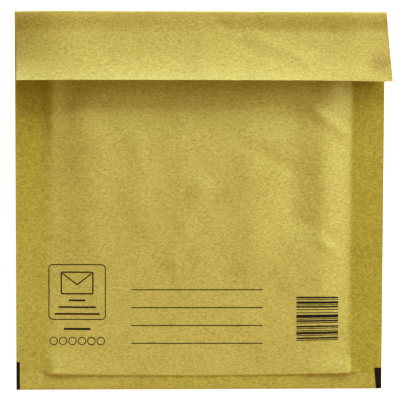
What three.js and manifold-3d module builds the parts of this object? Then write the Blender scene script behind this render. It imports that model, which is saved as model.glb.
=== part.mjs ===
// A padded envelope, empty and lying on its back, with its flap folded down over the front
// but not stuck. One folded kraft sheet with a bubble lining bonded to it makes the pocket,
// the sealed margins and the flap. Under the flap are the adhesive strip and its release liner.
// Millimetres: +X to the right, +Y towards the top fold, +Z up, with the floor at Z = 0.

import * as THREE from 'three';
import { LoftGeometry } from 'three/addons/geometries/LoftGeometry.js';
import { mergeGeometries, mergeVertices } from 'three/addons/utils/BufferGeometryUtils.js';
import Module from 'manifold-3d';

// Outline of the closed envelope
const height = 200; // bottom fold to top fold
const topWidth = 197; // across the top fold
const leftTaper = 0.9; // how far the left edge runs in on its way down to the bottom fold
const rightTaper = 2.1; // the same for the right edge

// Sealed margins round the padding
const leftSeam = 13.5;
const rightSeam = 16;
const bottomMargin = 8;
const marginThickness = 0.8; // two papers with the crushed lining between them
const marginLift = 0.9; // underside of a margin over the floor

// Padding: the front and back walls together, each paper with its lining
const padThickness = 7;
const padRise = 22; // width of the slope from a margin up to the full thickness
const mouthThickness = 3.8; // the padding is pinched at the mouth
const mouthTaper = 20; // length over which it is pinched
const mouthSetback = 6; // from the top fold down to the mouth

// Pocket between the two walls, lying shut
const pocketGap = 0.7; // at full padding, less in step with the padding elsewhere
const pocketMargin = 4; // from the sealed margins to the pocket
const mouthOvershoot = 1; // how far the cut for the pocket runs out of the mouth

// Flap, bare paper
const paperThickness = 0.3;
const flapDepth = 37; // top fold to free edge
const flapInset = 1.6; // how far the left end of the free edge stays in from the body's edge
const flapFlare = 2.6; // how far its right end runs out past the body's edge
const flapStandoff = 6.5; // top of the free edge over the full padding
const foldClearance = 1.1; // between the mouth and the inside of the top fold

// Closing strip on the flap's underside
const stripInset = 13; // free edge to the strip's middle
const stripEndMargin = 6; // flap's ends to the strip's ends
const adhesiveWidth = 12;
const adhesiveThickness = 0.15;
const linerWidth = 16;
const linerThickness = 0.12;
const seatGap = 0.3; // between the flap, the adhesive and the liner

// Fineness of the surfaces
const riseSteps = [0, 0.12, 0.28, 0.5, 0.75, 1]; // shares of a slope, closer where it is steeper
const taperSteps = [0, 0.35, 0.7, 1];
const middleSteps = 6;
const foldSteps = 8;
const flapSteps = 5;
const pocketSteps = 13; // out of step with the walls, so no corner of one lies on an edge of the other

const kraftColour = 0xc3ae58;
const kraftRoughness = 0.75;
const adhesiveColour = 0xd9cfa6;
const adhesiveRoughness = 0.35;
const linerColour = 0xece6d6;
const linerRoughness = 0.5;

const topEdge = height / 2;
const bottomEdge = -height / 2;
const freeEdge = topEdge - flapDepth;
const mouth = topEdge - mouthSetback;
const padStart = bottomEdge + bottomMargin;

const { clamp, lerp, smoothstep } = THREE.MathUtils;

function evenly(start, end, steps) {
  return Array.from({ length: steps + 1 }, (_, step) => lerp(start, end, step / steps));
}

// Quarter of a sine wave: steep at a margin and level at the full padding
const swell = (distance) => Math.sin((Math.PI / 2) * clamp(distance / padRise, 0, 1));

// Padding, from 0 on the sealed margins to 1, at a distance from the left edge and a height
function padding(across, y) {
  return swell(across - leftSeam) * swell(topWidth - rightSeam - across) * swell(y - padStart);
}

const underside = (across, y) => marginLift * (1 - padding(across, y));

function thickness(across, y) {
  const pinch = smoothstep(y, mouth - mouthTaper, mouth);
  const full = lerp(padThickness, mouthThickness, pinch);
  return lerp(marginThickness, full, padding(across, y));
}

// The body's side edges slant in a little towards the bottom
function bodyPoint(across, y, z) {
  const share = (topEdge - y) / height;
  const left = -topWidth / 2 + leftTaper * share;
  const right = topWidth / 2 - rightTaper * share;
  return new THREE.Vector3(lerp(left, right, across / topWidth), y, z);
}

// The flap leans to the right: both its ends slant that way towards the free edge
function flapPoint(across, y, z) {
  const share = (topEdge - y) / flapDepth;
  const left = -topWidth / 2 + flapInset * share;
  const right = topWidth / 2 + flapFlare * share;
  return new THREE.Vector3(lerp(left, right, across / topWidth), y, z);
}

// Outer radius of the top fold, which clears the mouth
const foldRadius = (across) => (thickness(across, mouth) + foldClearance + paperThickness) / 2;

// Half round of the top fold, from the back panel up to the flap
function foldArc(across, wall) {
  const radius = foldRadius(across);
  const centreZ = underside(across, topEdge) + radius;
  return evenly(-Math.PI / 2, Math.PI / 2, foldSteps).map((angle) => {
    const y = topEdge - radius + (radius - wall) * Math.cos(angle);
    const z = centreZ + (radius - wall) * Math.sin(angle);
    return angle < 0 ? bodyPoint(across, y, z) : flapPoint(across, y, z);
  });
}

// Top of the flap, straight from the fold up to the free edge
function flapTop(across, y) {
  const radius = foldRadius(across);
  const foldTop = underside(across, topEdge) + 2 * radius;
  return lerp(foldTop, padThickness + flapStandoff, (topEdge - radius - y) / (flapDepth - radius));
}

// Heights up the body where its section bends
const bodyHeights = [
  bottomEdge,
  ...riseSteps.map((step) => padStart + step * padRise),
  ...taperSteps.map((step) => mouth - (1 - step) * mouthTaper),
];

// Distances from the left edge where the surface bends
const leftSlope = riseSteps.map((step) => leftSeam + step * padRise);
const rightSlope = riseSteps.map((step) => topWidth - rightSeam - step * padRise).reverse();
const middle = evenly(leftSlope.at(-1), rightSlope[0], middleSteps).slice(1, -1);
const stations = [0, ...leftSlope, ...middle, ...rightSlope, topWidth];

// The envelope's two faces at one station. The outer face runs up the back, round the top fold
// and along the flap. The inner one runs up the front, in at the mouth and along under the flap.
function envelopeFaces(across) {
  const floor = (y) => underside(across, y);
  const lip = mouth + paperThickness;
  const flapHeights = evenly(topEdge - foldRadius(across), freeEdge, flapSteps).slice(1);
  const flapFace = (drop) => flapHeights.map((y) => flapPoint(across, y, flapTop(across, y) - drop));
  return {
    outer: [
      ...bodyHeights.map((y) => bodyPoint(across, y, floor(y))),
      bodyPoint(across, lip, floor(lip)),
      ...foldArc(across, 0),
      ...flapFace(0),
    ],
    inner: [
      ...bodyHeights.map((y) => bodyPoint(across, y, floor(y) + thickness(across, y))),
      bodyPoint(across, lip, floor(lip) + paperThickness),
      ...foldArc(across, paperThickness),
      ...flapFace(paperThickness),
    ],
  };
}

// The pocket's two faces at one station, midway between the front and the back
function pocketFaces(across) {
  const heights = evenly(padStart + pocketMargin, mouth + mouthOvershoot, pocketSteps);
  const face = (side) => heights.map((y) => {
    const halfGap = (pocketGap / 2) * (thickness(across, y) / padThickness);
    return bodyPoint(across, y, underside(across, y) + thickness(across, y) / 2 + side * halfGap);
  });
  return { outer: face(-1), inner: face(1) };
}

// A strip's two faces at one station, with its upper face a given distance under the flap
function stripFaces(across, width, stripThickness, drop) {
  const centre = freeEdge + stripInset;
  const face = (depth) => [centre - width / 2, centre + width / 2].map(
    (y) => flapPoint(across, y, flapTop(across, y) - paperThickness - depth),
  );
  return { outer: face(drop + stripThickness), inner: face(drop) };
}

// Closed body between two faces that are carried from left to right
function bodyBetween(places, facesAt) {
  const sections = places.map(facesAt);
  const rings = sections.map(({ outer, inner }) => [...outer, ...inner.toReversed()]);
  const leftEnd = sections[0];
  const rightEnd = sections.at(-1);
  const skins = [
    new LoftGeometry(rings, { closed: true }),
    new LoftGeometry([leftEnd.inner, leftEnd.outer], { closed: false }),
    new LoftGeometry([rightEnd.outer, rightEnd.inner], { closed: false }),
  ];
  return mergeGeometries(skins);
}

const wasm = await Module();
wasm.setup();

function solidOf(geometry) {
  geometry.deleteAttribute('normal');
  geometry.deleteAttribute('uv');
  const merged = mergeVertices(geometry);
  return new wasm.Manifold(new wasm.Mesh({
    numProp: 3,
    vertProperties: merged.getAttribute('position').array,
    triVerts: Uint32Array.from(merged.getIndex().array),
  }));
}

function geometryOf(solid) {
  const { vertProperties, triVerts } = solid.getMesh();
  const geometry = new THREE.BufferGeometry();
  geometry.setAttribute('position', new THREE.BufferAttribute(vertProperties, 3));
  geometry.setIndex(new THREE.BufferAttribute(triVerts, 1));
  geometry.computeVertexNormals();
  return geometry;
}

function envelopeGeometry() {
  const pocketEnd = topWidth - rightSeam - pocketMargin;
  const pocketPlaces = evenly(leftSeam + pocketMargin, pocketEnd, pocketSteps);
  const folded = solidOf(bodyBetween(stations, envelopeFaces));
  const pocket = solidOf(bodyBetween(pocketPlaces, pocketFaces));
  return geometryOf(folded.subtract(pocket));
}

function stripGeometry(width, stripThickness, drop) {
  const end = topWidth - stripEndMargin;
  const between = stations.filter((across) => across > stripEndMargin && across < end);
  const places = [stripEndMargin, ...between, end];
  return bodyBetween(places, (across) => stripFaces(across, width, stripThickness, drop));
}

function piece(name, geometry, color, roughness) {
  const material = new THREE.MeshStandardMaterial({ color, roughness, metalness: 0 });
  const mesh = new THREE.Mesh(geometry, material);
  mesh.name = name;
  return mesh;
}

const adhesiveGeometry = stripGeometry(adhesiveWidth, adhesiveThickness, seatGap);
const linerDrop = seatGap + adhesiveThickness + seatGap;
const linerGeometry = stripGeometry(linerWidth, linerThickness, linerDrop);

const envelope = new THREE.Group();
envelope.add(piece('padded_envelope', envelopeGeometry(), kraftColour, kraftRoughness));
envelope.add(piece('adhesive_strip', adhesiveGeometry, adhesiveColour, adhesiveRoughness));
envelope.add(piece('release_liner', linerGeometry, linerColour, linerRoughness));

// The origin lies under the middle of the whole outline, flap included
envelope.position.x = -flapFlare / 2;

export default envelope;
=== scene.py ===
import math
import bpy
import numpy as np
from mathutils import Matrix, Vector


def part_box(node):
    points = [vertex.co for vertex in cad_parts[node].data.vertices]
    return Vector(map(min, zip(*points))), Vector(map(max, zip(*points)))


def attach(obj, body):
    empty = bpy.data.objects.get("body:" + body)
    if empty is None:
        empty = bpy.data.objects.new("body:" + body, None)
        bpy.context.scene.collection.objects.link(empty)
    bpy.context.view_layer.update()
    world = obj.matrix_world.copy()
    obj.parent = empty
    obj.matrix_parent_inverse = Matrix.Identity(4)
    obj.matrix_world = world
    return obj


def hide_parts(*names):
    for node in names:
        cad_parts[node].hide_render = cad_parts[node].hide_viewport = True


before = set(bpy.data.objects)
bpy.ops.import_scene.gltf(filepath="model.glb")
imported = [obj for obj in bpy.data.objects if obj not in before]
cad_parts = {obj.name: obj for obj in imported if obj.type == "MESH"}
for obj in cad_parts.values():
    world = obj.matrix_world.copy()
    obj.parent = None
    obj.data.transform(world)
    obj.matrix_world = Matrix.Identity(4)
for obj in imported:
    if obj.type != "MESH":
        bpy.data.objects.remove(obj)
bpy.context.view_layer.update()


# Folded kraft sheet with its padding. One sheet of golden kraft paper, lined with bubble film,
# is folded at the bottom, sealed flat along both sides and folded over at the top into a flap.
# The padding swells between the seams and is creased by handling.
MM = 0.001  # the shapes are worked out in millimetres

sheet_low, sheet_high = (np.array(corner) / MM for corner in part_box("padded_envelope"))
LEFT = sheet_low[0]
BOTTOM, TOP = sheet_low[1], sheet_high[1]
FLAP_FLARE = 2.6  # the right end of the solid's free edge runs out this far past its body
WIDTH = sheet_high[0] - LEFT - FLAP_FLARE
FLAP_INSET = 1.6  # the left end of the free edge stays in this far from the body's edge
LEFT_TAPER = 0.9  # how far a side edge runs in on its way down
RIGHT_TAPER = 2.1
FLAP_LEAN = 3.6  # how far the free edge's right end stands out here, a little more than in the solid
SLANT = 0.0075  # the right side is this share shorter than the left
STRETCH = 1.003  # the sheet is a little taller than the solid

LEFT_SEAM = 13.5
RIGHT_SEAM = 16.0
MARGIN_LIFT = 0.9
MARGIN_THICKNESS = 0.8
PAD_HEIGHT = 4.2  # padding above the sealed margins
LEFT_RISE = 34.0  # breadth of the slope from a seam up to the full padding
RIGHT_RISE = 18.5
BACK_RISE = 30.0  # the same for the underside, from the bottom crease up
FOLD_FADE = (7.0, 3.0)  # breadths over which the folds start at the left and the right seam
LUMP_FADE = 20.0  # the same for the lumps, at the seams and at the mouth

FOOT_CREASE = -91.7
FOOT_BOW = 1.2  # the crease over the bottom margin sags in the middle
FOOT_SOFTNESS = (0.35, 0.9)  # its width at the ends, and what the middle adds
FOOT_SHARE = 0.13  # height of the padding at the crease
FOOT_RISE = 125.0  # length of the slope from there up to the full padding
FOOT_RADIUS = 0.4  # depth of the bottom fold's round

MOUTH_SETBACK = 6.0
MOUTH = TOP - MOUTH_SETBACK
PINCH_BODY = (28.0, 74.0, 0.3)  # from, to, and the share of the height lost
PINCH_MOUTH = (72.0, 88.0, 0.18)
SLIT_DEPTH = (0.3, 13.7)  # at the seams, and what the full padding adds
PAPER = 0.25  # thickness of the bare paper

FLAP_DEPTH = 37.0
FREE_EDGE = TOP - FLAP_DEPTH
FREE_EDGE_HEIGHT = 14.6
LEFT_HANG = (3.4, 60.0)  # how far the free edge's left end hangs, and the length that it bends over
RIGHT_HANG = (7.2, 55.0)  # the same for its right end
CORNER_CURL = (0.5, 10.0)  # the flap's left end curls down by this much, over this length
CURL_SHARE = 0.5  # where the curl is reached between the fold and the free edge
FLAP_CURL = (3.9, 2.35, 125.0)  # power of the flap's curve, that at its right end, and the length between
FOLD_RADII = (1.5, 4.4, 3.7)  # at the left end, in the middle and at the right end
FOLD_EASE = 34.0  # length over which the fold closes at its ends
FOLD_DEPTH = 0.9  # the fold is pressed flat, so its round is shallow

# Places across, and how far the flap dips behind the top fold there
FLAP_DIP = ((0, 55, 80, 98, 120, 145, WIDTH), (1.2, 1.1, 0.8, 0.7, 1.7, 1.9, 1.8))
DIP_SHARES = (0.02, 0.3)  # where the dip is reached between the fold and the free edge
DIP_RETURN = 0.1  # share of the dip that is made up again at the free edge

FLAP_FOLD_START = 0.06  # the flap's own folds begin within this share behind the top fold

# Each fold: x, y of its two ends, breadth, and the rise at each end
BODY_FOLDS = (
    (49.9, 43.6, 49.9, -9.2, 6.9, -1.2, -1.3),
    (67.4, 37.3, 67.4, -11.3, 5.0, 0.0, 0.1),
    (60.0, 47.8, 74.8, 35.7, 2.2, 0.6, 0.7),
    (50.5, -8.7, 69.5, -19.8, 2.8, -0.1, -0.25),
    (62.0, -21.4, 71.0, -28.0, 2.0, 0.35, 0.35),
    (71.0, 65.0, 71.0, 46.0, 5.0, 1.9, 0.7),
    (-79.5, 65.0, -79.5, 40.0, 4.2, 1.8, 0.5),
    (-79.5, 40.0, -79.5, -5.0, 4.2, 0.5, 0.1),
    (15.2, 34.4, 45.8, 17.0, 2.8, -0.2, -0.45),
    (-64.7, 43.0, -64.7, 3.0, 5.5, 0.7, 0.2),
    (-34.0, 30.0, -33.0, -10.0, 5.0, 0.5, 0.4),
    (-12.0, 45.0, -11.0, 12.0, 5.0, 0.25, 0.3),
    (0.5, 6.0, -16.0, -31.0, 3.6, 0.7, 0.6),
    (25.0, 30.0, 26.0, -32.0, 6.0, 0.6, 0.6),
    (-80.5, -17.1, -68.9, -20.3, 1.3, 0.12, 0.12),
    (-78.0, -90.6, -50.0, -91.2, 5.5, 1.1, 0.1),
    (77.5, -90.6, 52.0, -91.2, 4.5, 1.3, 0.1),
)
# Small folds of the bottom margin and at the ends of its crease
FOOT_FOLDS = (
    (-82.6, -92.4, -79.4, -94.2, 0.7, 0.3, 0.1),
    (-82.0, -91.3, -68.0, -92.0, 0.9, 0.3, 0.05),
    (82.0, -91.1, 66.0, -92.0, 0.9, 0.3, 0.05),
    (77.5, -89.2, 81.8, -91.4, 0.9, 0.2, 0.15),
    (81.5, -91.6, 88.0, -91.6, 0.4, -0.12, -0.04),
    (-89.0, -91.7, -83.5, -91.7, 0.4, -0.05, -0.15),
)
FLAP_FOLDS = (
    (5.2, 98.2, 11.0, 92.4, 1.6, -0.1, -0.3),
    (23.9, 87.2, 53.4, 74.5, 3.0, 0.35, 0.3),
    (53.4, 74.5, 67.1, 69.8, 3.6, 0.25, 0.1),
    (22.9, 90.2, 26.1, 88.1, 0.6, 0.1, 0.1),
    (-39.7, 80.8, -29.2, 87.1, 2.4, 0.15, 0.15),
)
# Each wave of the loose padding: turns per millimetre across and up, phase, height
LUMPS = (
    (0.0411, -0.0155, 4.4, 0.05),
    (0.0563, 0.0352, 1.7, 0.03),
    (-0.0256, 0.0471, 2.6, 0.03),
)


def ease(value, start, end):
    """Smooth step: 0 before start, 1 after end, and 3t^2 - 2t^3 between them."""
    share = np.clip((value - start) / (end - start), 0, 1)
    return share * share * (3 - 2 * share)


def swell(distance, breadth):
    """Quarter of a sine wave, steep at the start and level after the breadth."""
    return np.sin(np.pi / 2 * np.clip(distance / breadth, 0, 1))


def slanted(across):
    """Heights grow a little towards the left side and shrink towards the right one."""
    return STRETCH + SLANT * (0.5 - across / WIDTH)


def body_place(across, y):
    """Where a point of the flat sheet lies: across runs straight between the two slanting side
    edges."""
    share = (TOP - y) / (TOP - BOTTOM)
    left = LEFT + LEFT_TAPER * share
    right = LEFT + WIDTH - RIGHT_TAPER * share
    return left + (right - left) * across / WIDTH, y * slanted(across)


def flap_place(across, y):
    """The same for the flap, whose two ends both lean to the right."""
    share = (TOP - y) / (TOP - FREE_EDGE)
    left = LEFT + FLAP_INSET * share
    right = LEFT + WIDTH + FLAP_LEAN * share
    return left + (right - left) * across / WIDTH, y * slanted(across)


def folds_at(x, y, folds):
    """Sum of soft folds, each a bell curve of the distance to its line, whose height runs evenly
    from one end to the other."""
    total = np.zeros(np.broadcast(x, y).shape)
    for x0, y0, x1, y1, breadth, rise, last_rise in folds:
        run = math.hypot(x1 - x0, y1 - y0)
        along = ((x - x0) * (x1 - x0) + (y - y0) * (y1 - y0)) / run
        aside = ((x - x0) * (y1 - y0) - (y - y0) * (x1 - x0)) / run
        beyond = np.maximum(np.maximum(-along, along - run), 0)
        height = rise + (last_rise - rise) * np.clip(along / run, 0, 1)
        total += height * np.exp(-(aside**2 + beyond**2) / (2 * breadth**2))
    return total


def lumps_at(x, y):
    """Sum of a few slow sine waves in different directions."""
    return sum(h * np.sin(2 * np.pi * (u * x + v * y) + p) for u, v, p, h in LUMPS)


def between_seams(across, left_breadth, right_breadth):
    """0 on the sealed sides and 1 between them, in smooth steps over the two breadths."""
    left = ease(across - LEFT_SEAM, 0, left_breadth)
    return left * ease(WIDTH - RIGHT_SEAM - across, 0, right_breadth)


def foot_line(across):
    """The crease over the bottom margin, which hangs in a half sine wave."""
    share = np.clip((across - LEFT_SEAM) / (WIDTH - LEFT_SEAM - RIGHT_SEAM), 0, 1)
    bow = np.sin(np.pi * share)
    return FOOT_CREASE - FOOT_BOW * bow, FOOT_SOFTNESS[0] + FOOT_SOFTNESS[1] * bow


def over_foot(across, y):
    """0 on the bottom margin and 1 above its crease, in a smooth step."""
    line, softness = foot_line(across)
    return ease(y, line - softness / 2, line + softness / 2)


def back_height(across, y):
    """Underside: flat on the floor under the padding, and lifted under the margins."""
    padding = between_seams(across, LEFT_RISE, RIGHT_RISE) * swell(y - FOOT_CREASE, BACK_RISE)
    return MARGIN_LIFT * (1 - padding)


def front_height(across, y):
    """Front: the margins' level, plus the padding's swell between the seams, lower towards the
    foot and the mouth, plus folds and lumps that die out at the seams."""
    x, up = body_place(across, y)
    line, _ = foot_line(across)
    rise = FOOT_SHARE + (1 - FOOT_SHARE) * np.clip((y - line) / FOOT_RISE, 0, 1)
    for start, end, loss in (PINCH_BODY, PINCH_MOUTH):
        rise = rise - loss * ease(y, start, end)
    padding = PAD_HEIGHT * rise * between_seams(across, LEFT_RISE, RIGHT_RISE)
    handling = folds_at(x, up, BODY_FOLDS) * between_seams(across, *FOLD_FADE)
    loose = lumps_at(x, up) * between_seams(across, LUMP_FADE, LUMP_FADE) * swell(MOUTH - y, LUMP_FADE)
    level = MARGIN_LIFT + MARGIN_THICKNESS
    return level + over_foot(across, y) * (padding + handling + loose) + folds_at(x, up, FOOT_FOLDS)


def fold_radius(across):
    """Outer radius of the top fold, which clears the padding's mouth, and closes towards the two
    ends: fast at the left one, in a smooth step at the right one."""
    left, most, right = FOLD_RADII
    closing = (most - left) * (1 - swell(across, FOLD_EASE))
    return most - closing - (most - right) * (1 - ease(WIDTH - across, 0, FOLD_EASE))


def flap_height(across, share):
    """Outer face of the flap, from the fold (share 0) to the free edge (1): a power curve that
    steepens towards the free edge, less a dip behind the fold, plus its folds. Its ends
    hang in parabolas."""
    radius = fold_radius(across)
    y = TOP - FOLD_DEPTH - share * (TOP - FOLD_DEPTH - FREE_EDGE)
    fold_top = back_height(across, TOP) + 2 * radius
    ends = ((LEFT_HANG, across), (RIGHT_HANG, WIDTH - across), (CORNER_CURL, across))
    left_hang, right_hang, corner = (
        depth * np.clip(1 - reach / length, 0, 1) ** 2 for (depth, length), reach in ends
    )
    edge = FREE_EDGE_HEIGHT - left_hang - right_hang
    power, right_power, length = FLAP_CURL
    power = power + (right_power - power) * ease(across, WIDTH - length, WIDTH)
    x, up = flap_place(across, y)
    dipped = ease(share, *DIP_SHARES) - DIP_RETURN * ease(share, DIP_SHARES[1], 1)
    dip = np.interp(across, *FLAP_DIP) * dipped
    height = fold_top + (edge - fold_top) * share**power - dip - corner * ease(share, 0, CURL_SHARE)
    return y, height + folds_at(x, up, FLAP_FOLDS) * ease(share, 0, FLAP_FOLD_START)


def top_fold(across, angle, inset):
    """Half ellipse of the top fold, from the back (-90 degrees) to the flap (+90)."""
    radius = fold_radius(across)
    y = TOP - FOLD_DEPTH + (FOLD_DEPTH - inset) * np.cos(angle)
    return y, back_height(across, TOP) + radius + (radius - inset) * np.sin(angle)


def foot_fold(across, angle):
    """Half ellipse of the bottom fold, from the back (-90 degrees) to the front (+90)."""
    low = back_height(across, BOTTOM + FOOT_RADIUS)
    high = front_height(across, BOTTOM + FOOT_RADIUS)
    y = BOTTOM + FOOT_RADIUS * (1 - np.cos(angle))
    return y, (low + high) / 2 + (high - low) / 2 * np.sin(angle)


def mouth_lip(across):
    """Edge of the padding inside the top fold, with the slit of the pocket running in: points
    at shares of the padding's thickness, pushed in along the slit."""
    shares = np.array([0.85, 0.57, 0.56, 0.55, 0.54, 0.5, 0.46, 0.45, 0.44, 0.43, 0.36])[:, None]
    inward = np.array([-0.1, 0, 0.33, 0.66, 0.97, 1, 0.97, 0.66, 0.33, 0, -0.02])[:, None]
    low = back_height(across, MOUTH)
    thickness = front_height(across, MOUTH) - low
    depth = SLIT_DEPTH[0] + SLIT_DEPTH[1] * between_seams(across, LEFT_RISE, RIGHT_RISE)
    return MOUTH - inward * depth, low + shares * thickness


def crowded(start, end, count, places, breadth, crowding):
    """Steps from start to end that shrink near the places: the inverse of a running sum of one
    plus a bell curve for each place."""
    fine = np.linspace(start, end, 4000)
    bells = sum(np.exp(-(((fine - place) / breadth) ** 2)) for place in places)
    running = np.cumsum(1 + crowding * bells)
    running = (running - running[0]) / (running[-1] - running[0])
    return np.interp(np.linspace(0, 1, count), running, fine)


STATIONS = 226  # places across
BODY_ROWS = 98  # rows up the back, which has half as many as the front
FLAP_ROWS = 30  # rows under the flap, which has half as many as its outer face
ROUND_STEPS = 11  # rows round a fold
SEAM_CROWDING = (3.0, 2.0)  # breadth and strength of the finer steps at the seams
FOOT_CROWDING = (3.0, 4.0)  # the same at the bottom crease
FOOT_ANGLES = ((-60,), (-20,), (20,), (60,))  # degrees round the bottom fold


def stacked(place, across, y, z):
    """Points of one run round the section, as rows of the run by stations across."""
    across, y, z = np.broadcast_arrays(across, y, z)
    return np.stack([*place(across, y), z], axis=-1)


seam_lines = (0.0, LEFT_SEAM, WIDTH - RIGHT_SEAM, WIDTH)
across = crowded(0.0, WIDTH, STATIONS, seam_lines, *SEAM_CROWDING)[None, :]
foot_lines = (FOOT_CREASE - FOOT_BOW / 2,)
front_rows = crowded(BOTTOM + FOOT_RADIUS, MOUTH, 2 * BODY_ROWS - 1, foot_lines, *FOOT_CROWDING)
back_rows = front_rows[::-2]
half_turn = np.linspace(-np.pi / 2, np.pi / 2, ROUND_STEPS)[:, None]
flap_shares = np.linspace(0, 1, 2 * FLAP_ROWS + 1)[:, None]

front_y, back_y = front_rows[:, None], back_rows[:, None]
flap_y, flap_z = flap_height(across, flap_shares)
edge_y, edge_z = flap_y[-1:] - PAPER / 3, flap_z[-1:] - PAPER / 2
inner_round = top_fold(across, half_turn, PAPER)
outer_round = top_fold(across, half_turn[::-1], 0.0)
runs = {
    "front": stacked(body_place, across, front_y, front_height(across, front_y)),
    "mouth": stacked(body_place, across, *mouth_lip(across)),
    "inner_fold": stacked(body_place, across, *inner_round),
    "under_flap": stacked(flap_place, across, flap_y[2::2], flap_z[2::2] - PAPER),
    "free_edge": stacked(flap_place, across, edge_y, edge_z),
    "flap": stacked(flap_place, across, flap_y[:0:-1], flap_z[:0:-1]),
    "outer_fold": stacked(body_place, across, *outer_round),
    "back": stacked(body_place, across, back_y, back_height(across, back_y)),
    "foot": stacked(body_place, across, *foot_fold(across, np.radians(FOOT_ANGLES))),
}
section = np.concatenate(list(runs.values()))
firsts = np.cumsum([0] + [len(run) for run in runs.values()])
row_of = {name: np.arange(a, b) for name, a, b in zip(runs, firsts[:-1], firsts[1:])}
ring = len(section)


def lofted_faces(stations, ring):
    """Squares between neighbouring stations, round the closed section."""
    station = np.arange(stations - 1)[:, None] * ring
    row = np.arange(ring)[None, :]
    beside = (row + 1) % ring
    corners = (station + row, station + ring + row, station + ring + beside, station + beside)
    return np.stack(corners, axis=-1).reshape(-1, 4)


def side_edge():
    """Cut edge of the sheet at one side: strips between the facing runs of the section."""
    front, back = row_of["front"], row_of["back"][::-1]
    body = np.stack([front[:-2:2], front[1::2], front[2::2], back[1:], back[:-1]], axis=-1)
    inner, outer = row_of["inner_fold"], row_of["outer_fold"][::-1]
    fold = np.stack([inner[:-1], inner[1:], outer[1:], outer[:-1]], axis=-1)
    under = np.concatenate([inner[-1:], row_of["under_flap"]])
    over = np.concatenate([outer[-1:], row_of["flap"][::-1]])
    flap = np.stack([under[:-1], under[1:], over[2::2], over[1::2], over[:-2:2]], axis=-1)
    tip = [[under[-1], row_of["free_edge"][0], over[-1]]]
    lip = [[front[-1], *row_of["mouth"], inner[0], outer[0], back[-1]]]
    foot = [[back[0], *row_of["foot"], front[0]]]
    return [*body.tolist(), *fold.tolist(), *flap.tolist(), *tip, *lip, *foot]


def new_piece(name, points, faces, material, smooth_angle=40):
    """A mesh object from points in millimetres, shaded smooth except at sharp edges."""
    mesh = bpy.data.meshes.new(name)
    mesh.from_pydata((np.reshape(points, (-1, 3)) * MM).tolist(), [], faces)
    mesh.shade_smooth()
    mesh.set_sharp_from_angle(angle=math.radians(smooth_angle))
    mesh.materials.append(material)
    piece = bpy.data.objects.new(name, mesh)
    bpy.context.scene.collection.objects.link(piece)
    return piece


def add_node(tree, kind, sockets=None, **settings):
    """A node with its properties and its sockets' own values set."""
    made = tree.nodes.new(kind)
    for name, value in settings.items():
        setattr(made, name, value)
    for name, value in (sockets or {}).items():
        made.inputs[name].default_value = value
    return made


def scaled_share(tree, value, share, base):
    """base + share * (value - a half), where share and base are sockets or numbers."""
    middle = add_node(tree, "ShaderNodeMath", {1: 0.5}, operation="SUBTRACT")
    grown = add_node(tree, "ShaderNodeMath", operation="MULTIPLY_ADD")
    tree.links.new(value, middle.inputs[0])
    tree.links.new(middle.outputs[0], grown.inputs[0])
    for socket, given in ((grown.inputs[1], share), (grown.inputs[2], base)):
        if isinstance(given, float):
            socket.default_value = given
        else:
            tree.links.new(given, socket)
    return grown.outputs[0]


def paper_grain_group():
    """Paper's grain: fine streaks along the width, specks and slow clouds, each a noise.
    Tone is a half plus their shares, and Height is the streaks and specks."""
    group = bpy.data.node_groups.new("paper_grain", "ShaderNodeTree")
    group.interface.new_socket("Vector", in_out="INPUT", socket_type="NodeSocketVector")
    for name in ("Streaks", "Specks", "Clouds"):
        group.interface.new_socket(name, in_out="INPUT", socket_type="NodeSocketFloat")
    for name in ("Tone", "Height"):
        group.interface.new_socket(name, in_out="OUTPUT", socket_type="NodeSocketFloat")
    given = add_node(group, "NodeGroupInput")
    result = add_node(group, "NodeGroupOutput")
    tone = 0.5
    noises = {}
    for name, per_metre, detail in (
        ("Streaks", (430, 1250, 1250), 3.0),
        ("Specks", (900, 900, 900), 2.0),
        ("Clouds", (38, 45, 45), 3.0),
    ):
        stretched = add_node(group, "ShaderNodeVectorMath", {1: per_metre}, operation="MULTIPLY")
        noise = add_node(group, "ShaderNodeTexNoise", {"Scale": 1.0, "Detail": detail, "Roughness": 0.6})
        group.links.new(given.outputs["Vector"], stretched.inputs[0])
        group.links.new(stretched.outputs[0], noise.inputs["Vector"])
        tone = scaled_share(group, noise.outputs["Fac"], given.outputs[name], tone)
        noises[name] = noise.outputs["Fac"]
    height = add_node(group, "ShaderNodeMath", operation="ADD")
    group.links.new(noises["Streaks"], height.inputs[0])
    group.links.new(noises["Specks"], height.inputs[1])
    group.links.new(tone, result.inputs["Tone"])
    group.links.new(height.outputs[0], result.inputs["Height"])
    return group


paper_grain = paper_grain_group()


def grained(tree, streaks, specks, clouds):
    """The paper grain placed in a material, read on Object coordinates."""
    place = add_node(tree, "ShaderNodeTexCoord")
    grain = add_node(tree, "ShaderNodeGroup", node_tree=paper_grain)
    for name, value in (("Streaks", streaks), ("Specks", specks), ("Clouds", clouds)):
        grain.inputs[name].default_value = value
    tree.links.new(place.outputs["Object"], grain.inputs["Vector"])
    return place, grain


def blended(tree, factor, first, second):
    """Mix of two colours, each a value or a socket, by a factor socket."""
    mix = add_node(tree, "ShaderNodeMix", data_type="RGBA")
    tree.links.new(factor, mix.inputs["Factor"])
    for socket, given in ((mix.inputs[6], first), (mix.inputs[7], second)):
        if isinstance(given, tuple):
            socket.default_value = (*given, 1.0)
        else:
            tree.links.new(given, socket)
    return mix.outputs[2]


def masked(tree, name):
    """One of the piece's own masks, kept on its points."""
    return add_node(tree, "ShaderNodeAttribute", attribute_name=name).outputs["Fac"]


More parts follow.
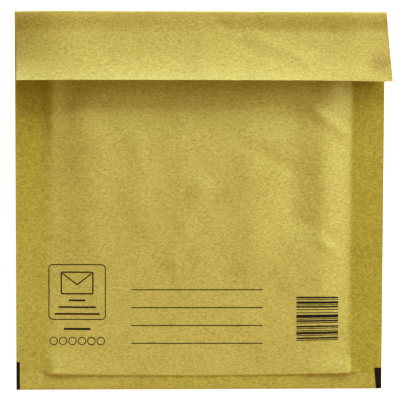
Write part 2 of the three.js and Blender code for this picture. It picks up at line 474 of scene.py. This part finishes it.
KRAFT_DARK = (0.347, 0.312, 0.057)
KRAFT_LIGHT = (0.63, 0.592, 0.165)
SEALED_DARK = (0.236, 0.203, 0.017)
SEALED_LIGHT = (0.50, 0.452, 0.056)
# tan of the painted shade that the crumpled patch's rings put on the paper
CRUMPLE_SHADE_TAN = (0.36, 0.24, 0.05)
KRAFT_GRAIN = (1.3, 1.2, 0.45)  # streaks, specks and clouds
KRAFT_ROUGHNESS = (0.2, 0.6)  # what the grain's tone adds, and the middle
KRAFT_SPECULAR = 0.3
RIB_PITCH = 1.06 * MM
RIB_DEPTH = 0.05 * MM
GRAIN_DEPTH = 0.04 * MM
CRUMPLE_DEPTH = 0.12 * MM

kraft = bpy.data.materials.new("golden_kraft")
kraft.use_nodes = True
tree = kraft.node_tree
shader = tree.nodes["Principled BSDF"]
place, grain = grained(tree, *KRAFT_GRAIN)
loose_tone = blended(tree, grain.outputs["Tone"], KRAFT_DARK, KRAFT_LIGHT)
sealed_tone = blended(tree, grain.outputs["Tone"], SEALED_DARK, SEALED_LIGHT)
tone = blended(tree, masked(tree, "sealed"), loose_tone, sealed_tone)

# Crumpled patch at the flap's right end: uneven rings round a place, pressed into the paper. The same rings
# also darken the colour towards a tan, as painted shade in the crumples.
RING_CENTRE = (100.5 * MM, 66.5 * MM, 0.0)
RING_WAVE = {"Scale": 320.0, "Distortion": 10.0, "Detail": 2.0, "Detail Scale": 2.2}
from_centre = add_node(tree, "ShaderNodeVectorMath", {1: RING_CENTRE}, operation="SUBTRACT")
rings = add_node(tree, "ShaderNodeTexWave", RING_WAVE, wave_type="RINGS", rings_direction="SPHERICAL")
crumple_and_shade = add_node(tree, "ShaderNodeMath", operation="MULTIPLY")
tree.links.new(place.outputs["Object"], from_centre.inputs[0])
tree.links.new(from_centre.outputs[0], rings.inputs["Vector"])
tree.links.new(rings.outputs["Fac"], crumple_and_shade.inputs[0])
tree.links.new(masked(tree, "crumpled"), crumple_and_shade.inputs[1])
# painted shade: the crumpled patch's rings darken the paper towards the tan
tone = blended(tree, crumple_and_shade.outputs[0], tone, CRUMPLE_SHADE_TAN)
tree.links.new(tone, shader.inputs["Base Color"])
tree.links.new(scaled_share(tree, grain.outputs["Tone"], *KRAFT_ROUGHNESS), shader.inputs["Roughness"])
shader.inputs["Specular IOR Level"].default_value = KRAFT_SPECULAR

# Crimped ribs: a sine wave up the sheet, pressed in where the seams are crimped
place_parts = add_node(tree, "ShaderNodeSeparateXYZ")
turns = add_node(tree, "ShaderNodeMath", {1: 2 * math.pi / RIB_PITCH}, operation="MULTIPLY")
ribs = add_node(tree, "ShaderNodeMath", operation="SINE")
pressed = add_node(tree, "ShaderNodeMath", operation="MULTIPLY")
rib_bump = add_node(tree, "ShaderNodeBump", {"Strength": 1.0, "Distance": RIB_DEPTH})
grain_bump = add_node(tree, "ShaderNodeBump", {"Strength": 1.0, "Distance": GRAIN_DEPTH})
crumple_bump = add_node(tree, "ShaderNodeBump", {"Strength": 1.0, "Distance": CRUMPLE_DEPTH})
tree.links.new(place.outputs["Object"], place_parts.inputs[0])
tree.links.new(place_parts.outputs["Y"], turns.inputs[0])
tree.links.new(turns.outputs[0], ribs.inputs[0])
tree.links.new(ribs.outputs[0], pressed.inputs[0])
tree.links.new(masked(tree, "crimped"), pressed.inputs[1])
tree.links.new(pressed.outputs[0], rib_bump.inputs["Height"])
tree.links.new(grain.outputs["Height"], grain_bump.inputs["Height"])
tree.links.new(rib_bump.outputs["Normal"], grain_bump.inputs["Normal"])
# the rings that paint the shade are also pressed in as a bump
tree.links.new(crumple_and_shade.outputs[0], crumple_bump.inputs["Height"])
tree.links.new(grain_bump.outputs["Normal"], crumple_bump.inputs["Normal"])
tree.links.new(crumple_bump.outputs["Normal"], shader.inputs["Normal"])

# Sealed margins are darker: fully at the top, less down the left seam and on the bottom margin
SEAL_FADE = (9.0, 3.2)  # breadths over which the dark tone ends at the left and the right seam
LEFT_PALING = (45, -60, 0.45)  # from, to, and the share of the dark tone lost
FOOT_PALING = 0.4
sealed = np.zeros((ring, STATIONS))
open_share = between_seams(across, *SEAL_FADE)
left_half = 1 - ease(across, 0, WIDTH / 2)
paling_start, paling_end, paling = LEFT_PALING
for name, rows in (("front", front_y), ("back", back_y)):
    fading = 1 - paling * left_half * ease(-rows, -paling_start, -paling_end)
    fading = fading * (1 - FOOT_PALING * (1 - over_foot(across, rows)))
    sealed[row_of[name]] = fading * (1 - open_share * over_foot(across, rows))
sealed[row_of["foot"]] = sealed[row_of["front"][:1]]

# Each crimped patch of a seam: its middle, its half width and half height, and how deep it is
CRIMPED = ((-92.5, 51.5, 7.5, 7.5, 1.0), (88.5, 43.0, 6.0, 5.0, 0.5), (85.0, -95.5, 4.5, 3.0, 0.4))
crimped = np.zeros((ring, STATIONS))
for x0, y0, half_x, half_y, depth in CRIMPED:
    spread = ((section[..., 0] - x0) / half_x) ** 4 + ((section[..., 1] - y0) / half_y) ** 4
    crimped[row_of["front"]] += depth * np.exp(-spread)[row_of["front"]]

CRUMPLED = (94.0, 73.0, 6.0, 5.2)  # middle, half width and half height of the crumpled patch
x0, y0, half_x, half_y = CRUMPLED
spread = ((section[..., 0] - x0) / half_x) ** 2 + ((section[..., 1] - y0) / half_y) ** 2
crumpled = np.zeros((ring, STATIONS))
crumpled[row_of["flap"]] = np.exp(-(spread**2))[row_of["flap"]]

edge_faces = side_edge()
last_station = (STATIONS - 1) * ring
far_edge = [[last_station + corner for corner in face[::-1]] for face in edge_faces]
sheet_faces = [*lofted_faces(STATIONS, ring).tolist(), *edge_faces, *far_edge]
envelope = new_piece("kraft_envelope", section.swapaxes(0, 1), sheet_faces, kraft)
for name, mask in (("sealed", sealed), ("crimped", crimped), ("crumpled", crumpled)):
    kept = envelope.data.attributes.new(name, "FLOAT", "POINT")
    kept.data.foreach_set("value", mask.T.astype(np.float32).ravel())
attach(envelope, "root")
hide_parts("padded_envelope")


# Adhesive strip. A line of pressure-sensitive glue laid along the flap's underside, with a
# slightly uneven edge where the glue ran before it set.
STRIP_INSET = 13.0  # from the free edge to the strip's middle
STRIP_MIDDLE = FREE_EDGE + STRIP_INSET
STRIP_END_MARGIN = 6.0
ADHESIVE_WIDTH = 12.0
ADHESIVE_THICKNESS = 0.15
STRIP_STATIONS = 180
STRIP_ROWS = 9
# Each wave of a strip's edges: radians per millimetre, phase, share of the height
EDGE_WAVES = ((0.61, 0.0, 1.0), (1.37, 1.0, 0.6))


def capped_faces(stations, ring):
    """Squares along a closed section, with one face across each of its two ends."""
    ends = [list(range(ring)), [stations * ring - 1 - row for row in range(ring)]]
    return [*lofted_faces(stations, ring).tolist(), *ends]


def flap_strip(width, thickness, drop, waver):
    """A flat strip under the flap: it follows the flap's underside at a given drop, and its two
    long edges waver in a sum of sine waves."""
    across = np.linspace(STRIP_END_MARGIN, WIDTH - STRIP_END_MARGIN, STRIP_STATIONS)[:, None]
    side = np.linspace(-1, 1, STRIP_ROWS)[None, :]
    wave = sum(share * np.sin(across * pace + phase) for pace, phase, share in EDGE_WAVES)
    y = STRIP_MIDDLE + side * (width / 2 + waver * wave)
    share = (TOP - FOLD_DEPTH - y) / (TOP - FOLD_DEPTH - FREE_EDGE)
    _, outer = flap_height(across, share)
    upper = stacked(flap_place, across, y, outer - PAPER - drop)
    lower = stacked(flap_place, across, y, outer - PAPER - drop - thickness)
    return np.concatenate([upper, lower[:, ::-1]], axis=1)


ADHESIVE_DROP = 0.02  # gap under the flap's paper
ADHESIVE_WAVER = 0.18
GLUE_PALE = (0.78, 0.66, 0.34)
GLUE_DEEP = (0.62, 0.47, 0.17)
GLUE_GRAIN = (0.3, 0.6, 1.2)
GLUE_ROUGHNESS = (0.2, 0.3)
GLUE_COAT = 0.4
GLUE_DEPTH = 0.05 * MM

glue = bpy.data.materials.new("set_glue")
glue.use_nodes = True
tree = glue.node_tree
shader = tree.nodes["Principled BSDF"]
_, grain = grained(tree, *GLUE_GRAIN)
tree.links.new(blended(tree, grain.outputs["Tone"], GLUE_DEEP, GLUE_PALE), shader.inputs["Base Color"])
tree.links.new(scaled_share(tree, grain.outputs["Tone"], *GLUE_ROUGHNESS), shader.inputs["Roughness"])
shader.inputs["Coat Weight"].default_value = GLUE_COAT
glue_bump = add_node(tree, "ShaderNodeBump", {"Strength": 0.6, "Distance": GLUE_DEPTH})
tree.links.new(grain.outputs["Height"], glue_bump.inputs["Height"])
tree.links.new(glue_bump.outputs["Normal"], shader.inputs["Normal"])

strip_faces = capped_faces(STRIP_STATIONS, 2 * STRIP_ROWS)
glue_points = flap_strip(ADHESIVE_WIDTH, ADHESIVE_THICKNESS, ADHESIVE_DROP, ADHESIVE_WAVER)
adhesive = new_piece("glue_strip", glue_points, strip_faces, glue)
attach(adhesive, "root")
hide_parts("adhesive_strip")


# Release liner. A narrow strip of white siliconised paper that covers the glue until the
# envelope is closed, wider than the glue so that fingers can start to peel it.
LINER_WIDTH = 16.0
LINER_THICKNESS = 0.12
LINER_GAP = 0.02
LINER_DROP = ADHESIVE_DROP + ADHESIVE_THICKNESS + LINER_GAP
LINER_PALE = (0.86, 0.84, 0.76)
LINER_SHADE = (0.70, 0.68, 0.60)
LINER_GRAIN = (0.3, 0.3, 0.5)
LINER_ROUGHNESS = (0.15, 0.34)
LINER_DEPTH = 0.02 * MM

silicone_paper = bpy.data.materials.new("silicone_paper")
silicone_paper.use_nodes = True
tree = silicone_paper.node_tree
shader = tree.nodes["Principled BSDF"]
_, grain = grained(tree, *LINER_GRAIN)
tree.links.new(blended(tree, grain.outputs["Tone"], LINER_SHADE, LINER_PALE), shader.inputs["Base Color"])
tree.links.new(scaled_share(tree, grain.outputs["Tone"], *LINER_ROUGHNESS), shader.inputs["Roughness"])
liner_bump = add_node(tree, "ShaderNodeBump", {"Strength": 0.5, "Distance": LINER_DEPTH})
tree.links.new(grain.outputs["Height"], liner_bump.inputs["Height"])
tree.links.new(liner_bump.outputs["Normal"], shader.inputs["Normal"])

liner_points = flap_strip(LINER_WIDTH, LINER_THICKNESS, LINER_DROP, 0.0)
liner = new_piece("peel_liner", liner_points, strip_faces, silicone_paper)
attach(liner, "root")
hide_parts("release_liner")


# Corner marks. Two black patches printed over the bottom fold at its two ends, where the web of
# envelopes was cut apart. They wrap round the fold to the back.
INK_RISE = 0.04  # the ink's upper face over the paper
INK_SINK = 0.04  # its lower face in the paper
INK_BLACK = (0.003, 0.002, 0.003)
INK_WORN = (0.016, 0.013, 0.010)
INK_GRAIN = (0.6, 0.8, 0.4)
INK_ROUGHNESS = (0.2, 0.6)
INK_SPECULAR = 0.1
INK_DEPTH = 0.03 * MM

ink = bpy.data.materials.new("black_ink")
ink.use_nodes = True
tree = ink.node_tree
shader = tree.nodes["Principled BSDF"]
_, grain = grained(tree, *INK_GRAIN)
tree.links.new(blended(tree, grain.outputs["Tone"], INK_BLACK, INK_WORN), shader.inputs["Base Color"])
tree.links.new(scaled_share(tree, grain.outputs["Tone"], *INK_ROUGHNESS), shader.inputs["Roughness"])
shader.inputs["Specular IOR Level"].default_value = INK_SPECULAR
ink_bump = add_node(tree, "ShaderNodeBump", {"Strength": 0.6, "Distance": INK_DEPTH})
tree.links.new(grain.outputs["Height"], ink_bump.inputs["Height"])
tree.links.new(ink_bump.outputs["Normal"], shader.inputs["Normal"])

MARK_ROWS = 24
MARK_COLUMNS = 6


def fold_mark(top, inner_top, inner_foot, outer):
    """A patch over the bottom fold, from the front round to the back. Its rows run down the front,
    round the fold and up the back, and its inner side slants between two places across."""
    down = np.linspace(top, BOTTOM + FOOT_RADIUS, MARK_ROWS)[:, None]
    turn = np.linspace(np.pi / 2, -np.pi / 2, ROUND_STEPS)[1:-1, None]
    side = np.linspace(0, 1, MARK_COLUMNS)[None, :]
    down_share = (top - down) / (top - BOTTOM)
    share = np.concatenate([down_share, np.ones_like(turn), down_share[::-1]])
    across = (inner_top + (inner_foot - inner_top) * share) * (1 - side) + outer * side
    front, foot, back = np.split(across, [MARK_ROWS, MARK_ROWS + len(turn)])
    foot_y, foot_z = foot_fold(foot, turn)
    y = np.concatenate([down + 0 * front, foot_y + 0 * foot, down[::-1] + 0 * back])
    z = np.concatenate([front_height(front, down), foot_z, back_height(back, down[::-1])])
    facing_up = np.concatenate([np.ones_like(front), np.sin(turn) + 0 * foot, -np.ones_like(back)])
    facing_out = np.concatenate([0 * front, np.cos(turn) + 0 * foot, 0 * back])
    return [
        stacked(body_place, across, y - facing_out * lift, z + facing_up * lift)
        for lift in (INK_RISE, -INK_SINK)
    ]


def skinned_faces(rows, columns, turned):
    """A closed shell between two grids of points: the grids' squares and a strip round their rim."""
    grid = np.arange(rows * columns).reshape(rows, columns)
    upper = np.stack([grid[:-1, :-1], grid[1:, :-1], grid[1:, 1:], grid[:-1, 1:]], axis=-1).reshape(-1, 4)
    rim = np.concatenate([grid[:-1, 0], grid[-1, :-1], grid[:0:-1, -1], grid[0, :0:-1]])
    after = np.roll(rim, -1)
    lower = upper[:, ::-1] + rows * columns
    wall = np.stack([after, rim, rim + rows * columns, after + rows * columns], axis=-1)
    faces = np.concatenate([upper, lower, wall])
    return (faces[:, ::-1] if turned else faces).tolist()


# Each mark: its top, its inner side at the top and at the fold, and its outer side
MARK_INSET = 0.03
LEFT_MARK = (-85.3, 1.9, 1.9, MARK_INSET)
RIGHT_MARK = (-88.9, WIDTH - 4.0, WIDTH - 2.9, WIDTH - MARK_INSET)
mark_rows = 2 * MARK_ROWS + ROUND_STEPS - 2
for name, mark, turned in (("corner_mark_left", LEFT_MARK, True), ("corner_mark_right", RIGHT_MARK, False)):
    mark_points = np.stack(fold_mark(*mark))
    piece = new_piece(name, mark_points, skinned_faces(mark_rows, MARK_COLUMNS, turned), ink)
    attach(piece, "root")


# Printed panel, address lines and bars. Flat black ink on the front: a framed panel with a plain
# envelope sign, a row of rings for the bubble lining, four ruled lines and a block of bars.
LINE = 0.5  # breadth of a thin line
INK_ACROSS = 3  # rows across a printed line


def front_at(x, y):
    """Height of the front at places in the frame: the places are turned back into distances across
    the sheet, by two rounds of the edges' straight lines."""
    across = x - LEFT
    for _ in range(2):
        up = y / slanted(across)
        left = body_place(0.0, up)[0]
        across = (x - left) * WIDTH / (body_place(WIDTH, up)[0] - left)
    return front_height(across, up)


def inked_line(x, y, breadth, closed=False):
    """A printed line along a path: a flat section as wide as the line, carried along it and laid
    on the front, a little over the paper and a little in it."""
    path = np.stack([x, y], axis=-1)
    if closed:
        ahead, behind = np.roll(path, -1, axis=0), np.roll(path, 1, axis=0)
    else:
        ahead, behind = np.vstack([path[1:], path[-1:]]), np.vstack([path[:1], path[:-1]])
    run = ahead - behind
    run = run / np.linalg.norm(run, axis=1, keepdims=True)
    side = np.stack([-run[:, 1], run[:, 0]], axis=-1)
    share = np.linspace(-0.5, 0.5, INK_ACROSS)[None, :, None]
    flat = path[:, None, :] + side[:, None, :] * breadth * share
    height = front_at(flat[..., 0], flat[..., 1])[..., None]
    upper = np.concatenate([flat, height + INK_RISE], axis=-1)
    lower = np.concatenate([flat, height - INK_SINK], axis=-1)
    points = np.concatenate([upper, lower[:, ::-1]], axis=1)
    if not closed:
        return points.reshape(-1, 3), capped_faces(len(x), 2 * INK_ACROSS)
    joined = np.concatenate([points, points[:1]])
    faces = lofted_faces(len(joined), 2 * INK_ACROSS) % (len(x) * 2 * INK_ACROSS)
    return points.reshape(-1, 3), faces.tolist()


def straight(x0, y0, x1, y1, breadth):
    """A printed straight line, in steps of about a millimetre."""
    steps = max(3, int(math.hypot(x1 - x0, y1 - y0)) + 1)
    share = np.linspace(0, 1, steps)
    return inked_line(x0 + (x1 - x0) * share, y0 + (y1 - y0) * share, breadth)


def printed(name, lines):
    """One piece from several printed lines, which stay separate closed shells."""
    firsts = np.cumsum([0] + [len(points) for points, _ in lines])
    faces = [[corner + first for corner in face] for (_, own), first in zip(lines, firsts) for face in own]
    piece = new_piece(name, np.vstack([points for points, _ in lines]), faces, ink)
    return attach(piece, "root")


def rounded_frame(left, bottom, right, top, radius, breadth):
    """A closed line round a box with quarter circles at its corners."""
    turn = np.linspace(0, np.pi / 2, 7) + np.arange(4)[:, None] * np.pi / 2
    centre_x = np.array([right - radius, left + radius, left + radius, right - radius])[:, None]
    centre_y = np.array([top - radius, top - radius, bottom + radius, bottom + radius])[:, None]
    x = (centre_x + radius * np.cos(turn)).ravel()
    y = (centre_y + radius * np.sin(turn)).ravel()
    round_x, round_y = np.append(x, x[0]), np.append(y, y[0])
    run = np.concatenate([[0], np.cumsum(np.hypot(np.diff(round_x), np.diff(round_y)))])
    even = np.union1d(np.linspace(0, run[-1], int(run[-1]), endpoint=False), run[:-1])
    return inked_line(np.interp(even, run, round_x), np.interp(even, run, round_y), breadth, True)


# Boxes: left, bottom, right, top
PANEL = (-81.6, -63.1, -51.5, -34.0)
PANEL_CORNER = 2.0
SIGN = (-75.0, -49.5, -58.1, -38.0)
SIGN_CORNER = 0.8
SIGN_LINE = 0.7
# The sign's flap: its two upper ends, the point between them, and the lines' breadth
SIGN_FLAP_LEFT = (SIGN[0] + 0.6, SIGN[3] - 0.7)
SIGN_FLAP_RIGHT = (SIGN[2] - 0.6, SIGN[3] - 0.7)
SIGN_FLAP_POINT = (-66.55, -44.6)
SIGN_FLAP_LINE = 0.6
# The rules under the sign: left, right, height
PANEL_RULES = ((-71.0, -62.1, -53.0), (-76.5, -56.6, -56.6), (-78.5, -54.6, -60.2))
RULE_BREADTH = 0.9
panel_lines = [
    rounded_frame(*PANEL, PANEL_CORNER, LINE),
    rounded_frame(*SIGN, SIGN_CORNER, SIGN_LINE),
    straight(*SIGN_FLAP_LEFT, *SIGN_FLAP_POINT, SIGN_FLAP_LINE),
    straight(*SIGN_FLAP_POINT, *SIGN_FLAP_RIGHT, SIGN_FLAP_LINE),
    *(straight(left, y, right, y, RULE_BREADTH) for left, right, y in PANEL_RULES),
]
printed("printed_panel", panel_lines)

RINGS = 6
FIRST_RING = (-79.1, -74.6)
RING_PITCH = 5.03
RING_RADIUS = 2.0
RING_LINE = 0.45
RING_RULE = (-73.6, -68.2, -59.4, -68.2, 1.1)  # the two ends and the breadth of the line over the rings
turn = np.linspace(0, 2 * np.pi, 28, endpoint=False)
ring_x, ring_y = FIRST_RING[0] + RING_RADIUS * np.cos(turn), FIRST_RING[1] + RING_RADIUS * np.sin(turn)
ring_lines = [inked_line(ring_x + RING_PITCH * k, ring_y, RING_LINE, True) for k in range(RINGS)]
printed("printed_rings", [*ring_lines, straight(*RING_RULE)])

ADDRESS_LEFT, ADDRESS_RIGHT = -37.8, 32.0
ADDRESS_HEIGHTS = (-47.3, -56.8, -66.3, -75.8)
printed("address_lines", [straight(ADDRESS_LEFT, y, ADDRESS_RIGHT, y, LINE) for y in ADDRESS_HEIGHTS])

BAR_LEFT, BAR_RIGHT = 49.9, 72.1
BAR_TOP, BAR_BOTTOM = -51.0, -74.2
# Breadths of the bars and the gaps in turn, a made-up pattern
BAR_MODULES = (
    2, 1, 1, 2, 3, 1, 1, 1, 2, 2, 1, 3, 1, 2, 4, 1, 1, 1,
    2, 1, 1, 3, 2, 1, 1, 2, 1, 1, 3, 1, 1, 2, 2, 1, 1,
)
BAR_TILT = 0.6  # the lowest bar's right end is this much higher than its left
modules = np.cumsum((0, *BAR_MODULES)) / sum(BAR_MODULES)
bar_tops = BAR_TOP + (BAR_BOTTOM - BAR_TOP) * modules
bars = []
for upper, lower in zip(bar_tops[0:-1:2], bar_tops[1::2]):
    middle = (upper + lower) / 2
    tilt = BAR_TILT * (BAR_TOP - middle) / (BAR_TOP - BAR_BOTTOM)
    bars.append(straight(BAR_LEFT, middle - tilt / 2, BAR_RIGHT, middle + tilt / 2, upper - lower))
printed("printed_bars", bars)


# Stage. A plain white floor under the envelope, a wide soft light from the top of the picture, two
# weaker ones from the right, a warm one from the front that fills the flap's shadow, a warm
# surround, and a camera straight above.
FLOOR_HALF = 60.0  # half its side, in metres
FLOOR_DROP = 0.0001
FLOOR_GREY = 0.8
FLOOR_ROUGHNESS = 0.9
FLOOR_GLOW, FLOOR_BOUNCE = 0.85, 0.05  # it looks white, but throws little light up at the folds
floor_mesh = bpy.data.meshes.new("floor")
corners = np.array([(-1, -1), (1, -1), (1, 1), (-1, 1)]) * FLOOR_HALF
floor_mesh.from_pydata([(x, y, -FLOOR_DROP) for x, y in corners], [], [(0, 1, 2, 3)])
white_floor = bpy.data.materials.new("white_floor")
white_floor.use_nodes = True
tree = white_floor.node_tree
shader = tree.nodes["Principled BSDF"]
shader.inputs["Base Color"].default_value = (FLOOR_GREY, FLOOR_GREY, FLOOR_GREY, 1)
shader.inputs["Roughness"].default_value = FLOOR_ROUGHNESS
shader.inputs["Emission Color"].default_value = (1, 1, 1, 1)
seen = add_node(tree, "ShaderNodeLightPath").outputs["Is Camera Ray"]
glow = scaled_share(tree, seen, FLOOR_GLOW - FLOOR_BOUNCE, (FLOOR_GLOW + FLOOR_BOUNCE) / 2)
tree.links.new(glow, shader.inputs["Emission Strength"])
floor_mesh.materials.append(white_floor)
floor = bpy.data.objects.new("floor", floor_mesh)
bpy.context.scene.collection.objects.link(floor)


LIGHT_DISTANCE = 4.2  # metres from the envelope's middle
WHITE = (1.0, 1.0, 1.0)
WARM = (1.0, 0.6, 0.2)
SURROUND_STRENGTH = 0.21


def soft_light(name, azimuth, elevation, width, height, power, colour):
    """A rectangular light turned to the middle of the envelope. Azimuth runs from +Y towards +X."""
    a, e = math.radians(azimuth), math.radians(elevation)
    light = bpy.data.lights.new(name, "AREA")
    light.shape = "RECTANGLE"
    light.size, light.size_y = width, height
    light.energy = power
    light.color = colour
    lamp = bpy.data.objects.new(name, light)
    towards = Vector((math.sin(a) * math.cos(e), math.cos(a) * math.cos(e), math.sin(e)))
    lamp.location = towards * LIGHT_DISTANCE
    lamp.rotation_mode = "QUATERNION"
    lamp.rotation_quaternion = (-lamp.location).to_track_quat("-Z", "Y")
    bpy.context.scene.collection.objects.link(lamp)


soft_light("top_light", 19.0, 20.5, 4.76, 1.54, 258.0, WHITE)
soft_light("right_light", 66.0, 25.0, 2.1, 1.54, 82.0, WHITE)
soft_light("low_light", 105.0, 12.0, 2.1, 0.7, 44.0, WHITE)
soft_light("front_light", 180.0, 33.0, 4.0, 2.0, 84.0, WARM)

world = bpy.data.worlds.new("warm_surround")
world.use_nodes = True
background = world.node_tree.nodes["Background"]
background.inputs["Color"].default_value = (*WARM, 1)
background.inputs["Strength"].default_value = SURROUND_STRENGTH
bpy.context.scene.world = world
bpy.context.scene.view_settings.view_transform = "Standard"

FRAME_WIDTH = 0.2128  # what the photograph shows across, in metres
LENS, SENSOR = 135.0, 36.0
FOCUS_HEIGHT = 0.0013  # level at which the picture is that wide
CAMERA_X, CAMERA_Y = -0.0013, 0.0003
camera_data = bpy.data.cameras.new("camera")
camera_data.lens = LENS
camera_data.sensor_width = SENSOR
camera = bpy.data.objects.new("camera", camera_data)
camera.location = (CAMERA_X, CAMERA_Y, FOCUS_HEIGHT + FRAME_WIDTH * LENS / SENSOR)
bpy.context.scene.collection.objects.link(camera)
bpy.context.scene.camera = camera
